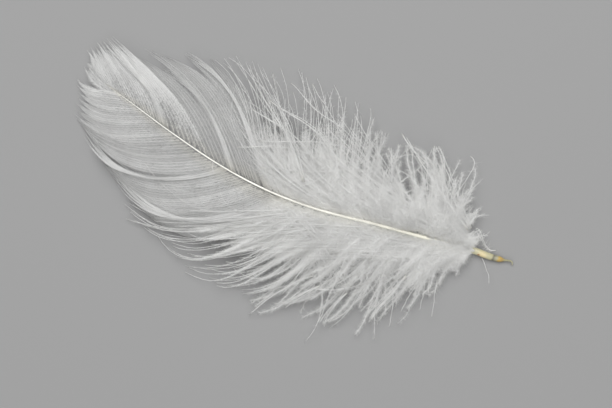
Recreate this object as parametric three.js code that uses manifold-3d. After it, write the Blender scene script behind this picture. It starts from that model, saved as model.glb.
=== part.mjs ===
// A goose's contour feather, dropped on a flat surface with its outer side up.
// Millimetres, +Z up. +X runs from the vane's tip to the quill's end.
// Left and right are as seen from the quill's end, so left is -Y.
// The shaft bows up in the middle. The barbs leave it in locks: flat ones that overlap like
// shingles in the two closed vanes, and thick soft ones in the down near the quill.
import * as THREE from "three";
import { mergeVertices } from "three/addons/utils/BufferGeometryUtils.js";
import Module from "manifold-3d";

const wasm = await Module();
wasm.setup();

// Driving dimensions
const featherLength = 100;
const halfLength = featherLength / 2;
const pieceGap = 0.35; // between the shaft and the roots of the barbs
const vaneThickness = 0.56;
const vaneTipThickness = 0.36;
const downEdgeThickness = 0.7;
const downTipThickness = 0.9;
const shingle = { setBack: 0.08, lift: 0.13 }; // every other lock grows this much further out and higher
const sliver = 0.008; // faces narrower than this, left where locks cross, are closed up
const floorCut = { width: 140, depth: 10 }; // what lies below the surface is cut off flat
const shaftSides = 12;
const shaftSteps = 44;
const evenSteps = 0.3; // below 1, more of the shaft's steps lie in the quill
const handle = 0.4; // how far a barb keeps its first and last headings, as a share of its reach
const keptHeight = 0.25; // share of its root's height that a barb still has before it turns down
const swellShape = 0.7; // below 1, a soft lock is thickest nearer to its root
const vaneSteps = 9;
const downSteps = 8;
const mergeDistance = 1e-4;

// The shaft's centre line and radius: x, y, z and r at hand-picked stations
const shaftStations = [
  [halfLength, -0.6, 0.5, 0.13],
  [49.85, -0.16, 0.72, 0.17],
  [49.5, 0.08, 0.82, 0.18],
  [48.9, 0.0, 0.8, 0.2],
  [48.2, -0.22, 0.7, 0.23],
  [47.7, -0.35, 0.62, 0.42],
  [47.2, -0.45, 0.55, 0.6],
  [46.1, -0.65, 0.52, 0.64],
  [45.2, -0.77, 0.56, 0.7],
  [41, -1.0, 1.25, 0.72],
  [32, -2.4, 3.0, 0.64],
  [20, -4.1, 5.1, 0.54],
  [8, -6.0, 6.6, 0.46],
  [-3, -6.55, 7.0, 0.4],
  [-14, -5.7, 6.4, 0.34],
  [-26, -3.5, 4.8, 0.27],
  [-36, -1.2, 3.1, 0.21],
  [-43, 0.35, 1.9, 0.16],
];

// A lock of barbs: root is where its first and last barbs leave the shaft, as x; tips are where those
// two end; leave has their angles to the shaft, and arrive the headings of their ends, in degrees; rise
// is how far the lock arches up; loft is the thickness that a soft lock gains in its middle.
const lock = (root, tips, leave, arrive, rise, loft = 0) => ({ root, tips, leave, arrive, rise, loft });

const leftVaneLocks = [
  lock([-43.0, -38.4], [[-49.9, 4.7, 1.1], [-48.6, 0.8, 1.1]], [3, 20], [149, 147], 0.2),
  lock([-40.2, -33.0], [[-49.4, -0.6, 1.0], [-47.8, -3.7, 1.0]], [20, 30], [147, 155], 0.4),
  lock([-33.2, -25.8], [[-47.7, -4.0, 0.9], [-46.6, -8.3, 0.8]], [30, 37], [156, 160], 0.6),
  lock([-26.1, -18.6], [[-46.5, -8.3, 0.5], [-45.0, -9.4, 0.4]], [37, 41], [160, 160], 0.9),
  lock([-18.9, -13.1], [[-45.0, -9.2, 0.8], [-43.8, -9.9, 0.7]], [41, 44], [160, 148], 1.2),
  lock([-13.4, -6.2], [[-43.7, -10.4, 0.3], [-36.6, -15.4, 0.2]], [46, 44], [145, 150], 1.3),
  lock([-6.5, -0.6], [[-36.3, -15.6, 0.7], [-29.6, -19.2, 0.5]], [44, 46], [150, 152], 1.5),
  lock([-0.9, 3.6], [[-30.0, -19.6, 0.2], [-22.5, -21.9, 0.1]], [46, 48], [156, 168], 1.4),
];

const rightVaneLocks = [
  lock([-43.0, -38.2], [[-49.9, 4.9, 1.1], [-48.8, 7.5, 1.1]], [3, 24], [148, 148], 0.3),
  lock([-38.4, -28.6], [[-48.8, 7.6, 1.2], [-46.8, 8.9, 1.3]], [24, 42], [148, 152], 0.8),
  lock([-28.9, -16.9], [[-46.9, 8.9, 1.6], [-45.7, 10.3, 1.8]], [42, 36], [152, 160], 1.9),
  lock([-17.2, -11.6], [[-41.5, 8.2, 0.7], [-39.0, 8.4, 0.7]], [35, 41], [168, 176], 1.0),
  lock([-11.9, -8.2], [[-39.6, 10.4, 0.5], [-36.8, 10.7, 0.4]], [42, 43], [168, 176], 1.0),
  lock([-8.5, -4.9], [[-36.6, 10.6, 0.2], [-33.4, 10.8, 0.1]], [43, 44], [176, 184], 1.2),
  lock([-5.2, -1.8], [[-31.6, 12.6, 0.6], [-30.0, 13.1, 0.6]], [44, 47], [166, 172], 1.6),
  lock([-2.1, 2.3], [[-27.2, 13.8, 0.2], [-23.6, 14.2, 0.1]], [47, 50], [160, 154], 1.4),
];

const leftDownLocks = [
  lock([4.6, 8.2], [[-26.4, -24.0, 0.4], [-20.6, -24.2, 0.3]], [46, 48], [176, 178], 2.4, 2.2),
  lock([7.9, 11.4], [[-19.6, -26.3, 0.6], [-14.4, -26.0, 0.5]], [48, 50], [178, 182], 2.6, 2.6),
  lock([11.1, 14.4], [[-13.6, -28.4, 0.3], [-8.6, -27.6, 0.2]], [50, 52], [184, 190], 2.8, 3.0),
  lock([14.1, 17.2], [[-8.4, -29.2, 0.8], [-3.6, -28.6, 0.8]], [52, 53], [192, 196], 3.0, 3.2),
  lock([16.9, 20.0], [[-3.6, -30.2, 0.3], [1.2, -29.4, 0.2]], [53, 54], [200, 210], 3.0, 3.4),
  lock([19.7, 22.6], [[2.0, -30.6, 1.0], [4.8, -31.0, 1.0]], [54, 55], [224, 226], 3.0, 3.6),
  lock([22.3, 25.0], [[5.2, -29.6, 0.4], [8.6, -27.6, 0.2]], [55, 56], [226, 228], 3.2, 3.8),
  lock([24.7, 27.2], [[9.2, -27.4, 1.2], [12.0, -25.2, 1.2]], [56, 58], [228, 230], 3.2, 4.0),
  lock([26.9, 29.3], [[12.9, -27.8, 0.3], [15.6, -26.4, 0.2]], [58, 60], [232, 236], 3.2, 4.0),
  lock([29.0, 31.2], [[16.6, -28.6, 1.2], [19.0, -28.2, 1.2]], [60, 62], [240, 244], 3.0, 4.0),
  lock([30.9, 33.0], [[19.8, -27.4, 0.3], [22.4, -25.4, 0.2]], [62, 64], [248, 248], 3.0, 4.0),
  lock([32.7, 34.7], [[23.2, -22.6, 1.4], [25.4, -21.0, 1.4]], [64, 66], [246, 248], 2.8, 3.8),
  lock([34.4, 36.2], [[26.2, -23.4, 0.3], [27.6, -23.0, 0.2]], [66, 70], [250, 252], 2.6, 3.6),
  lock([35.9, 37.6], [[28.6, -20.0, 1.0], [30.6, -18.4, 1.0]], [70, 76], [254, 256], 2.4, 3.4),
  lock([37.3, 38.8], [[31.6, -17.6, 0.6], [34.0, -14.2, 0.6]], [76, 84], [258, 264], 2.2, 3.0),
  lock([38.5, 39.8], [[35.0, -14.6, 1.2], [37.6, -11.8, 1.2]], [84, 94], [272, 278], 1.8, 2.6),
  lock([39.5, 40.7], [[38.6, -9.4, 1.4], [40.0, -5.6, 1.4]], [96, 104], [284, 292], 1.0, 2.0),
];

const rightDownLocks = [
  lock([3.4, 6.6], [[-19.8, 17.6, 1.0], [-14.6, 17.2, 0.8]], [50, 54], [148, 142], 1.6, 1.6),
  lock([6.3, 9.6], [[-13.4, 16.8, 0.4], [-9.0, 18.4, 0.3]], [55, 56], [138, 134], 1.8, 2.2),
  lock([9.3, 12.6], [[-8.2, 18.6, 1.0], [-4.8, 19.4, 1.0]], [57, 58], [130, 126], 2.2, 2.6),
  lock([12.3, 15.6], [[-4.0, 20.0, 0.4], [0.2, 20.4, 0.3]], [59, 60], [122, 120], 2.6, 3.0),
  lock([15.3, 18.4], [[0.8, 20.2, 1.2], [4.0, 17.2, 1.2]], [60, 61], [118, 116], 2.8, 3.4),
  lock([18.1, 21.2], [[5.6, 18.4, 0.5], [8.4, 18.4, 0.4]], [62, 62], [114, 113], 3.0, 3.8),
  lock([20.9, 23.8], [[9.4, 18.6, 1.4], [12.0, 15.8, 1.4]], [63, 64], [112, 112], 3.2, 4.0),
  lock([23.5, 26.4], [[12.8, 14.4, 0.5], [15.4, 12.2, 0.4]], [64, 65], [112, 116], 3.2, 4.0),
  lock([26.1, 28.9], [[16.4, 10.6, 1.4], [19.0, 10.2, 1.4]], [66, 66], [118, 130], 3.4, 4.0),
  lock([28.6, 31.4], [[18.2, 15.4, 1.8], [20.6, 13.8, 1.8]], [64, 62], [152, 146], 3.2, 3.4),
  lock([31.1, 33.6], [[22.0, 14.2, 0.4], [24.2, 13.0, 0.3]], [60, 59], [138, 128], 2.8, 3.2),
  lock([33.3, 35.3], [[25.0, 15.8, 1.4], [27.2, 14.2, 1.4]], [58, 58], [116, 112], 2.6, 3.2),
  lock([35.0, 36.7], [[28.2, 15.4, 0.5], [30.6, 12.0, 0.4]], [58, 60], [108, 102], 2.6, 3.2),
  lock([36.4, 37.9], [[33.2, 16.9, 2.0], [34.2, 14.0, 2.0]], [62, 66], [96, 92], 2.6, 2.8),
  lock([37.6, 39.0], [[34.2, 10.2, 1.2], [36.0, 8.0, 1.2]], [72, 78], [86, 82], 2.2, 2.8),
  lock([38.7, 39.9], [[38.2, 8.6, 1.6], [40.0, 8.2, 1.6]], [84, 94], [78, 60], 1.8, 2.4),
  lock([39.6, 40.7], [[41.6, 4.6, 1.8], [44.8, 2.4, 1.8]], [102, 112], [26, 18], 1.0, 1.6),
];

const mix = (a, b, t) => a + (b - a) * t;
const degrees = Math.PI / 180;

// Slope of a station's value, from its neighbours on both sides
function stationSlope(i, column) {
  const before = shaftStations[Math.max(i - 1, 0)];
  const after = shaftStations[Math.min(i + 1, shaftStations.length - 1)];
  return (after[column] - before[column]) / (after[0] - before[0]);
}

// The shaft at x: centre, radius and the heading towards the vane's tip
function shaftAt(x) {
  let i = 0;
  while (i < shaftStations.length - 2 && x < shaftStations[i + 1][0]) i++;
  const [from, to] = [shaftStations[i], shaftStations[i + 1]];
  const span = to[0] - from[0];
  const t = THREE.MathUtils.clamp((x - from[0]) / span, 0, 1);
  const smooth = (column) => {
    const [m0, m1] = [stationSlope(i, column) * span, stationSlope(i + 1, column) * span];
    const [t2, t3] = [t * t, t * t * t];
    const ends = (2 * t3 - 3 * t2 + 1) * from[column] + (3 * t2 - 2 * t3) * to[column];
    return ends + (t3 - 2 * t2 + t) * m0 + (t3 - t2) * m1;
  };
  const slope = mix(stationSlope(i, 1), stationSlope(i + 1, 1), t);
  return {
    centre: new THREE.Vector3(x, smooth(1), smooth(2)),
    radius: mix(from[3], to[3], t),
    heading: Math.atan2(-slope, -1),
  };
}

// The curve of the barb at share u from the lock's first barb to its last
function barbCurve(side, { root, tips, leave, arrive, rise, setBack, lift }, u) {
  const { centre, radius, heading } = shaftAt(mix(root[0], root[1], u));
  const out = heading - (side * Math.PI) / 2;
  const away = heading - side * mix(leave[0], leave[1], u) * degrees;
  const ending = mix(arrive[0], arrive[1], u) * degrees;
  const start = centre.clone();
  start.x += Math.cos(out) * (radius + pieceGap + setBack);
  start.y += Math.sin(out) * (radius + pieceGap + setBack);
  start.z += lift;
  const end = new THREE.Vector3(...tips[0]).lerp(new THREE.Vector3(...tips[1]), u);
  const reach = start.distanceTo(end);
  const first = start.clone();
  first.x += Math.cos(away) * reach * handle;
  first.y += Math.sin(away) * reach * handle;
  first.z += rise;
  const last = end.clone();
  last.x -= Math.cos(ending) * reach * handle;
  last.y -= Math.sin(ending) * reach * handle;
  last.z = mix(end.z, start.z, keptHeight) + rise;
  return new THREE.CubicBezierCurve3(start, first, last, end);
}

// Half the thickness of a flat lock, which thins towards its tips
const vaneHalf = () => (t) => mix(vaneThickness, vaneTipThickness, t) / 2;

// Half the thickness of a soft lock: thin at the shaft, the edges and the tips, thick in between
const downHalf = ({ loft }) => (t, u) => {
  const swell = Math.sin(Math.PI * t ** swellShape) * (1 - (2 * u - 1) ** 2);
  return (mix(downEdgeThickness, downTipThickness, t) + swell * loft) / 2;
};

// A lock as a box bent along its barbs: x runs across the lock, y is up and z runs along it
function lockGeometry(side, data, across, along, halfAt) {
  const geometry = new THREE.BoxGeometry(1, 1, 1, across, 1, along);
  const half = halfAt(data);
  const position = geometry.getAttribute("position");
  for (let i = 0; i < position.count; i++) {
    const u = 0.5 - side * position.getX(i);
    const t = position.getZ(i) + 0.5;
    const p = barbCurve(side, data, u).getPoint(t);
    const up = Math.sign(position.getY(i)) * half(t, u);
    position.setXYZ(i, p.x, p.y, p.z + up);
  }
  return geometry;
}

// The shaft as a cylinder bent along its stations: quill, dried end and all
function shaftGeometry() {
  const flatBelow = Math.PI / shaftSides;
  const geometry = new THREE.CylinderGeometry(1, 1, 1, shaftSides, shaftSteps, false, flatBelow);
  const [first, last] = [shaftStations[0][0], shaftStations[shaftStations.length - 1][0]];
  const position = geometry.getAttribute("position");
  for (let i = 0; i < position.count; i++) {
    const share = 0.5 - position.getY(i); // 0 at the quill's end
    const x = mix(first, last, mix(share ** 2, share, evenSteps));
    const { centre, radius, heading } = shaftAt(x);
    const across = position.getX(i) * radius;
    const up = position.getZ(i) * radius;
    centre.x -= Math.sin(heading) * across;
    centre.y += Math.cos(heading) * across;
    position.setXYZ(i, centre.x, centre.y, centre.z + up);
  }
  return geometry;
}

function toSolid(geometry) {
  const bare = new THREE.BufferGeometry().setAttribute("position", geometry.getAttribute("position"));
  bare.setIndex(geometry.index);
  const merged = mergeVertices(bare, mergeDistance);
  return new wasm.Manifold(
    new wasm.Mesh({
      numProp: 3,
      vertProperties: new Float32Array(merged.getAttribute("position").array),
      triVerts: new Uint32Array(merged.index.array),
    }),
  );
}

function toGeometry(solid) {
  const { vertProperties, triVerts } = solid.getMesh();
  const geometry = new THREE.BufferGeometry();
  geometry.setAttribute("position", new THREE.BufferAttribute(vertProperties, 3));
  geometry.setIndex(new THREE.BufferAttribute(triVerts, 1));
  geometry.computeVertexNormals();
  return geometry;
}

// Everything under the surface that the feather lies on
const underFloor = toSolid(
  new THREE.BoxGeometry(floorCut.width, floorCut.width, floorCut.depth).translate(0, 0, -floorCut.depth / 2),
);

const keratin = (color, roughness) => new THREE.MeshStandardMaterial({ color, roughness, metalness: 0 });

function named(name, solid, material) {
  const mesh = new THREE.Mesh(toGeometry(solid.subtract(underFloor).simplify(sliver)), material);
  mesh.name = name;
  return mesh;
}

function fusedLocks(name, side, locks, across, along, halfAt, material) {
  const solids = locks.map((lockData, i) => {
    const data = { ...lockData, setBack: (i % 2) * shingle.setBack, lift: (i % 2) * shingle.lift };
    return toSolid(lockGeometry(side, data, across, along, halfAt));
  });
  return named(name, solids.reduce((all, solid) => all.add(solid)), material);
}

const left = -1;
const right = 1;
const white = keratin(0xe9eae6, 0.55);
const downWhite = keratin(0xf2f2ef, 0.85);
const feather = new THREE.Group();
feather.add(
  named("shaft", toSolid(shaftGeometry()), keratin(0xefe9cf, 0.4)),
  fusedLocks("left_vane", left, leftVaneLocks, 1, vaneSteps, vaneHalf, white),
  fusedLocks("right_vane", right, rightVaneLocks, 1, vaneSteps, vaneHalf, white),
  fusedLocks("left_down", left, leftDownLocks, 2, downSteps, downHalf, downWhite),
  fusedLocks("right_down", right, rightDownLocks, 2, downSteps, downHalf, downWhite),
);

// The frame's origin is the middle of the feather's outline, on the surface
const outline = new THREE.Box3().setFromObject(feather);
const middle = outline.getCenter(new THREE.Vector3());
feather.position.set(-middle.x, -middle.y, 0);
feather.updateMatrixWorld(true);

export default feather;
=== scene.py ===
# A goose's body feather on a pale surface, outer side up, barb by barb
import math

import bmesh
import bpy
import numpy as np
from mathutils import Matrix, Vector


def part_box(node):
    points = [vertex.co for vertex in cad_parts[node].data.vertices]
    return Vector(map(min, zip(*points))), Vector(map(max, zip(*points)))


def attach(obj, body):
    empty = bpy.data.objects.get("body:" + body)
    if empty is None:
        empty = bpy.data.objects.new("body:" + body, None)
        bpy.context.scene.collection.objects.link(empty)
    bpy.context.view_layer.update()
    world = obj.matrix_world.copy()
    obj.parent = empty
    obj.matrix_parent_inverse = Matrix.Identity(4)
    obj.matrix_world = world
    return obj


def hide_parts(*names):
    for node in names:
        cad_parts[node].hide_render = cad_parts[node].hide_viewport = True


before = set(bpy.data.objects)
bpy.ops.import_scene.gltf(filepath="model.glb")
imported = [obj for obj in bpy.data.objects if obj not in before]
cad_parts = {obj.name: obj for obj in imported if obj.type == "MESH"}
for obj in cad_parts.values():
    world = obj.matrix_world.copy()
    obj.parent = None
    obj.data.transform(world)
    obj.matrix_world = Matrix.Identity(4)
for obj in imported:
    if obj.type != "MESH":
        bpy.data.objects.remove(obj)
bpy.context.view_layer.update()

print("frame loaded")

# Sizes are in millimetres and angles in degrees. x runs from the vane's tip to the quill's end, and
# the quill ends at halfLength, near the line y = 0. left is -y and right is +y.
mm = 0.001
halfLength = 50
left, right = -1, 1
floorGap = 0.02  # nothing comes closer to the surface than this
up = np.array([0, 0, 1.0])
tiny = 1e-9  # keeps a length that is divided by from being zero
justShort = 0.001  # keeps a place along the locks or along a barb just short of its end
jitter = (0.1, 0.9)  # where a tuft or barbule may stand within its own step

shaft = {
    "stations": [  # x, y, z and radius, from the quill's dried end to the vane's tip
        (halfLength, -0.6, 0.5, 0.1),
        (49.85, -0.16, 0.72, 0.15),
        (49.5, 0.08, 0.82, 0.17),
        (48.9, 0.0, 0.8, 0.19),
        (48.2, -0.22, 0.7, 0.23),
        (47.7, -0.35, 0.62, 0.4),
        (47.2, -0.45, 0.62, 0.58),
        (46.1, -0.65, 0.66, 0.64),
        (45.2, -0.77, 0.72, 0.7),
        (41, -1.0, 1.25, 0.72),
        (32, -2.4, 3.0, 0.52),
        (20, -4.1, 5.1, 0.45),
        (8, -6.0, 6.6, 0.33),
        (-3, -6.55, 7.0, 0.22),
        (-14, -5.7, 6.4, 0.17),
        (-26, -3.5, 4.8, 0.13),
        (-36, -1.2, 3.1, 0.09),
        (-43, 0.35, 1.9, 0.04),
    ],
    "sides": 24,
    "rings": 260,
    "ringCrowd": 0.7,  # above 0, the rings stand closer towards the quill
    "quillStart": 41,  # here the round quill starts to turn into the squarer rachis
    "rachisStart": 30,
    "squareness": 0.15,  # how far the rachis's section swells from round to square
    "groove": 0.35,  # depth of the groove under the rachis, as a share of its radius
    "grooveWidth": 0.5,  # and half its width
}
stationTable = np.array(sorted(shaft["stations"]))


def mix(a, b, t):
    return a + (b - a) * t


def smoothstep(low, high, x):
    t = np.clip((x - low) / (high - low), 0, 1)
    return t * t * (3 - 2 * t)


def between(a, b, span, x):
    # a before the span, b after it, and smooth in between
    return mix(a, b, smoothstep(*span, x))


def unit(v):
    return v / np.maximum(np.linalg.norm(v, axis=-1, keepdims=True), tiny)


def alongShaft(column, x):
    # a smooth curve through the stations
    xs, ys = stationTable[:, 0], stationTable[:, column]
    before = np.maximum(np.arange(len(xs)) - 1, 0)
    after = np.minimum(np.arange(len(xs)) + 1, len(xs) - 1)
    slopes = (ys[after] - ys[before]) / (xs[after] - xs[before])
    i = np.clip(np.searchsorted(xs, x) - 1, 0, len(xs) - 2)
    span = xs[i + 1] - xs[i]
    t = np.clip((x - xs[i]) / span, 0, 1)
    ends = (2 * t**3 - 3 * t**2 + 1) * ys[i] + (3 * t**2 - 2 * t**3) * ys[i + 1]
    return ends + (t**3 - 2 * t**2 + t) * slopes[i] * span + (t**3 - t**2) * slopes[i + 1] * span


def shaftCentre(x):
    return np.stack([x, alongShaft(1, x), alongShaft(2, x)], axis=-1)


def shaftHeading(x):
    # towards the vane's tip
    step = 0.05
    slope = (alongShaft(1, x + step) - alongShaft(1, x - step)) / (2 * step)
    return np.arctan2(-slope, -np.ones_like(slope))


# Locks of barbs: root is where the first and the last barb leave the shaft, tips are where they end,
# leave has their angles to the shaft, arrive the headings of their ends, rise is how far they arch up,
# and cover is how closely a closed lock's barbules cover it
# a lock's cover also sets the painted shade of its vane barbs: the less it covers, the darker they are
# coloured
def lock(root, tips, leave, arrive, rise, cover=1):
    return {"root": root, "tips": tips, "leave": leave, "arrive": arrive, "rise": rise, "cover": cover}


# A band of barbs that lie on a vane, from root to around tip. start is the share of their length
# where their barbules begin
def streak(root, tip, leave, arrive, rise, width, count, start=0.15):
    return {
        "root": root, "tip": tip, "leave": leave, "arrive": arrive, "rise": rise,
        "width": width, "count": count, "start": start,
    }


leftVane = {
    "seed": 11,
    "locks": [
        lock([-43.0, -38.4], [[-49.9, 4.7, 1.1], [-48.6, 0.8, 1.1]], [3, 20], [149, 147], 0.2, 1.1),
        lock([-40.2, -33.0], [[-49.4, -0.6, 1.0], [-47.8, -3.7, 1.0]], [20, 30], [147, 155], 0.4, 1.1),
        lock([-33.2, -25.8], [[-47.7, -4.0, 0.9], [-46.6, -8.3, 0.8]], [30, 37], [156, 160], 0.6),
        lock([-26.1, -18.6], [[-46.5, -8.3, 0.5], [-45.0, -9.4, 0.4]], [37, 41], [160, 160], 0.9),
        lock([-18.9, -13.1], [[-45.0, -9.2, 0.8], [-43.8, -9.9, 0.7]], [41, 44], [160, 148], 1.2, 0.9),
        lock([-13.4, -6.2], [[-43.7, -10.4, 0.3], [-36.6, -15.4, 0.2]], [46, 44], [145, 150], 1.3),
        lock([-6.5, -0.6], [[-36.3, -15.6, 0.7], [-29.6, -19.2, 0.5]], [44, 46], [150, 152], 1.5),
        lock([-0.9, 3.6], [[-30.0, -19.6, 0.2], [-22.5, -21.9, 0.1]], [46, 48], [156, 168], 1.4),
    ],
    "streaks": [
        streak(-13.2, (-43.2, -10.4, 1.0), 50, 140, 1.9, 2.3, 12, 0.08),
        streak(0.5, (-34.0, -15.8, 1.0), 50, 145, 3.1, 4.2, 20, 0.12),
        streak(-8.6, (-43.0, -9.9, 0.9), 44, 150, 1.7, 0, 1, 0.5),
        streak(-21.0, (-45.5, -7.8, 0.8), 40, 160, 1.2, 0, 1, 0.5),
        streak(-2.4, (-38.0, -13.6, 0.8), 46, 150, 1.7, 0, 1, 0.4),
        streak(-35.5, (-49.3, -0.6, 1.2), 28, 140, 0.7, 0, 1, 0.5),
    ],
}

rightVane = {
    "seed": 23,
    "locks": [
        lock([-43.0, -38.2], [[-49.9, 4.9, 1.1], [-48.8, 7.5, 1.1]], [3, 24], [148, 148], 0.3, 1.2),
        lock([-38.4, -28.6], [[-48.8, 7.6, 1.2], [-46.8, 8.9, 1.3]], [24, 42], [148, 152], 0.8, 1.2),
        lock([-28.9, -16.9], [[-46.9, 8.9, 1.6], [-45.7, 10.3, 1.8]], [42, 36], [152, 160], 1.9, 1.4),
        lock([-17.2, -11.6], [[-41.5, 8.2, 0.7], [-39.0, 8.4, 0.7]], [35, 41], [168, 176], 1.0, 0.6),
        lock([-11.9, -8.2], [[-39.6, 10.4, 0.5], [-36.8, 10.7, 0.4]], [42, 43], [168, 176], 1.0, 0.6),
        lock([-8.5, -4.9], [[-36.6, 10.6, 0.2], [-33.4, 10.8, 0.1]], [43, 44], [176, 184], 1.2, 0.6),
        lock([-5.2, -1.8], [[-31.6, 12.6, 0.6], [-30.0, 13.1, 0.6]], [44, 47], [166, 172], 1.6, 0.6),
        lock([-2.1, 2.3], [[-27.2, 13.8, 0.2], [-23.6, 14.2, 0.1]], [47, 50], [160, 154], 1.4, 0.5),
    ],
    "streaks": [
        streak(-28.4, (-46.9, 9.0, 1.9), 42, 152, 1.4, 3.0, 12, 0.02),
        streak(-11.4, (-33.8, 8.2, 1.1), 44, 174, 1.5, 2.2, 10, 0.05),
        streak(-2.9, (-30.5, 13.0, 1.0), 45, 176, 2.0, 2.2, 12, 0.02),
        streak(-5.0, (-30.6, 12.3, 0.9), 43, 168, 1.8, 0, 1, 0.4),
        streak(-8.0, (-39.6, 10.4, 0.7), 43, 172, 1.5, 0, 1, 0.4),
    ],
}

# A loose barb, or a tuft of them, that lies across the others along the points in plan. lift is how
# far it stands above the rest there
def wisp(points, barbs=1, width=0, fuzz=0, lift=0):
    return {"points": points, "barbs": barbs, "width": width, "fuzz": fuzz, "lift": lift}


leftDown = {
    "seed": 31,
    # by the barbs' place on the shaft: the share of their length that is dense fluff, the share where
    # their fuzz ends, and how far they draw together into tufts
    "dense": [(0, 0.56), (10, 0.46), (20, 0.38), (41, 0.45)],
    "fuzzy": [(0, 0.6), (10, 0.72), (16, 0.9), (22, 1.1)],
    "clump": [(0, 0.85), (10, 0.6), (16, 0.3), (24, 0.12), (41, 0.1)],
    "fullness": 1,  # how many barbs there are, as a share of the number in downLook
    "crowd": 1.3,  # above 1, the barbs stand closer towards the vane
    "thinFoot": (-2, 3),  # between these places on the shaft the fluff sets in
    # how long the barbules are, as a share of their full length: short ones make silky strands
    "silk": [(0, 0.35), (12, 0.5), (20, 1)],
    # the downy barbs leave the shaft at this share of their lock's angle
    "leaveLess": [(0, 1.1), (3, 0.95), (9, 0.6), (37, 0.58), (40.7, 0.4)],
    "wisps": [
        wisp([(41.5, -0.8), (38.6, -1.6), (35, -2.6), (31, -4.2)], 12, 1.8, 0.26, 0.7),
        wisp([(41.3, -1.4), (39.2, -2.6), (36.6, -4.2), (33, -6.6)], 10, 2.2, 0.22, 0.3),
        wisp([(40.4, -2), (32, -5), (22, -8), (12, -10.4)], 12, 5, 0.05),
        wisp([(37.5, -2.2), (28, -6), (16, -10.4), (4, -14.5)], 14, 7, 0.05),
        wisp([(31, -3.2), (21, -7.4), (9, -12.2), (-3, -17.5)], 14, 7, 0.05),
        wisp([(24, -4.1), (14, -8.7), (3, -14), (-9, -19.5)], 14, 7, 0.04),
        wisp([(15, -5.5), (6, -10), (-5, -15.4), (-17, -20.5)], 12, 5, 0.03),
        wisp([(6, -7), (-2, -11.6), (-12, -16.8), (-23, -21)], 8, 3.4, 0.02),
        wisp([(-2, -8), (6, -10.4), (14, -13.5), (22, -17)], 5, 5, 0.01),
        wisp([(4, -7.4), (10, -11.4), (16, -16), (21, -21)], 5, 5, 0.01),
        wisp([(14, -6.4), (19, -9.4), (25, -13.4), (30, -17)], 5, 6, 0.01),
        wisp([(-15.9, -5.4), (-15.6, -6.4), (-14.8, -7.5)], 3, 0.25, 0.02),
        wisp([(10.6, -15.6), (9.6, -20.2), (8.1, -25.2)], 2, 0.2, 0.012),
        wisp([(30.2, -11.4), (28.7, -16.4), (27.3, -20.2), (26.9, -22.9)], 7, 1.5, 0.08),
        wisp([(17.4, -11.4), (16.5, -13.3), (15.6, -15.8)], 4, 0.5, 0.14),
        wisp([(20.9, -12.0), (21.3, -14.0), (22.3, -16.6)], 4, 0.5, 0.14),
        wisp([(-3.8, -6.8), (3, -8.8), (9, -11.2), (15, -12.6)], 2, 0.3, 0.012),
        wisp([(36.6, -9.8), (37.6, -13.4), (38.6, -17.2)], 1, 0, 0.01),
        wisp([(34.4, -11.0), (35.2, -14.0), (35.8, -16.6)], 1, 0, 0.008),
        wisp([(33.0, -11.0), (32.6, -15.0), (32.3, -18.6)], 1, 0, 0.012),
        wisp([(28.8, -14.6), (30.2, -18.5), (31.4, -22.6)], 1, 0, 0.012),
        wisp([(24.0, -15.0), (18.6, -19.4), (13.0, -21.4)], 2, 0.3, 0.02),
        wisp([(12.6, -19.0), (7.4, -24.8), (3.6, -32.4)], 2, 0.5, 0.015),
        wisp([(14.6, -20.4), (11.4, -24.4), (9.4, -27.6)], 4, 1.4, 0.03),
        wisp([(20.4, -19.6), (18.6, -24.4), (18.4, -28.2)], 4, 1.6, 0.03),
        wisp([(43.5, -1.7), (45.2, -3.4), (46.8, -6.0)], 1, 0, 0.006),
    ],
    "locks": [
        lock([0.4, 4.8], [[-31.0, -20.0, 0.8], [-26.6, -23.8, 0.5]], [45, 46], [164, 176], 2.0),
        lock([4.6, 8.2], [[-26.4, -24.0, 0.4], [-20.6, -24.2, 0.3]], [46, 48], [176, 178], 2.4),
        lock([7.9, 11.4], [[-19.6, -26.3, 0.6], [-14.4, -26.0, 0.5]], [48, 50], [178, 182], 2.6),
        lock([11.1, 14.4], [[-13.6, -28.4, 0.3], [-8.6, -27.6, 0.2]], [50, 52], [184, 190], 2.8),
        lock([14.1, 17.2], [[-8.4, -29.2, 0.8], [-3.6, -28.6, 0.8]], [52, 53], [192, 196], 3.0),
        lock([16.9, 20.0], [[-3.6, -30.2, 0.3], [1.2, -29.4, 0.2]], [53, 54], [200, 210], 3.0),
        lock([19.7, 22.6], [[2.0, -30.6, 1.0], [4.8, -31.0, 1.0]], [54, 55], [224, 226], 3.0),
        lock([22.3, 25.0], [[5.2, -29.6, 0.4], [8.6, -27.6, 0.2]], [55, 56], [226, 228], 3.2),
        lock([24.7, 27.2], [[9.2, -27.4, 1.2], [12.0, -25.2, 1.2]], [56, 58], [228, 230], 3.2),
        lock([26.9, 29.3], [[12.9, -27.8, 0.3], [15.6, -26.4, 0.2]], [58, 60], [232, 236], 3.2),
        lock([29.0, 31.2], [[16.6, -28.6, 1.2], [19.0, -28.2, 1.2]], [60, 62], [240, 244], 3.0),
        lock([30.9, 33.0], [[19.8, -27.4, 0.3], [22.4, -25.4, 0.2]], [62, 64], [248, 248], 3.0),
        lock([32.7, 34.7], [[23.2, -22.6, 1.4], [25.4, -21.0, 1.4]], [64, 66], [246, 248], 2.8),
        lock([34.4, 36.2], [[26.2, -23.4, 0.3], [27.6, -23.0, 0.2]], [66, 70], [250, 252], 2.6),
        lock([35.9, 37.6], [[28.6, -20.0, 1.0], [30.6, -18.4, 1.0]], [70, 76], [254, 256], 2.4),
        lock([37.3, 38.8], [[31.6, -17.6, 0.6], [34.0, -14.2, 0.6]], [76, 84], [258, 264], 2.2),
        lock([38.5, 39.8], [[35.0, -14.6, 1.2], [37.6, -11.8, 1.2]], [84, 94], [272, 278], 1.8),
        lock([39.5, 40.7], [[38.6, -9.4, 1.4], [40.0, -5.6, 1.4]], [96, 104], [284, 292], 1.0),
    ],
}

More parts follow.
